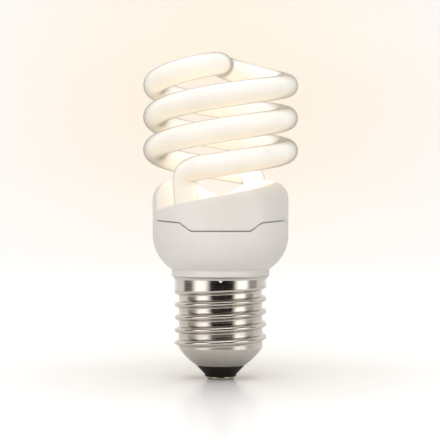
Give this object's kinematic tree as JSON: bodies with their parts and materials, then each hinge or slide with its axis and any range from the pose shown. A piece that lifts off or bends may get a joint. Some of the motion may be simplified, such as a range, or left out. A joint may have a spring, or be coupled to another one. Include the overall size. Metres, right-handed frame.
{
  "type": "spiral energy saving bulb",
  "caption": "Compact fluorescent lamp with a white spiral tube, a ramped tube holder, a bowl-shaped ballast housing and a screw cap with a centre contact.",
  "frame": {"origin": "on the lamp axis, at the flat face of the centre contact", "axes": "+Z along the lamp axis from the cap to the spiral; the front, where a tube leg is seen left of the middle, is -Y"},
  "size_m": [0.0444, 0.0442, 0.0933],
  "materials": {
    "lit_glass": "white phosphor-coated glass, lit, smooth",
    "cover_plastic": "white moulded plastic, satin",
    "housing_plastic": "white moulded plastic, satin",
    "cap_metal": "nickel-plated rolled brass, bright",
    "black_glass": "black glass insulator, glossy",
    "contact_metal": "plated brass contact, burnished",
    "cement": "white cement, matt",
    "board": "paper laminate board, tan",
    "capacitor_sleeve": "shrink sleeve, dark",
    "film_coat": "dipped coat, red-brown",
    "ferrite": "ferrite, dark grey, matt",
    "bobbin_plastic": "moulded bobbin, black",
    "copper_wire": "enamelled copper wire",
    "black_plastic": "moulded package, black",
    "resistor_coat": "lacquer, beige",
    "diac_glass": "glass body, blue",
    "pin_metal": "tinned wire and pins",
    "lead_sleeve": "insulated wire, white"
  },
  "bodies": {
    "root": {"spiral_tube": "lit_glass", "upper_cover": "cover_plastic", "lower_housing": "housing_plastic", "screw_shell": "cap_metal", "cap_insulator": "black_glass", "centre_contact": "contact_metal", "tube_cement": "cement", "circuit_board": "board", "bulk_capacitor": "capacitor_sleeve", "resonant_capacitor": "film_coat", "blocking_capacitor": "film_coat", "choke_core": "ferrite", "choke_bobbin": "bobbin_plastic", "choke_winding": "copper_wire", "drive_ring": "ferrite", "drive_windings": "copper_wire", "transistors": "black_plastic", "rectifier_diodes": "black_plastic", "resistors": "resistor_coat", "trigger_diac": "diac_glass", "wrap_pins": "pin_metal", "tube_leads": "pin_metal", "live_lead": "lead_sleeve", "fuse_resistor": "resistor_coat", "neutral_lead": "lead_sleeve"}
  },
  "joints": []
}
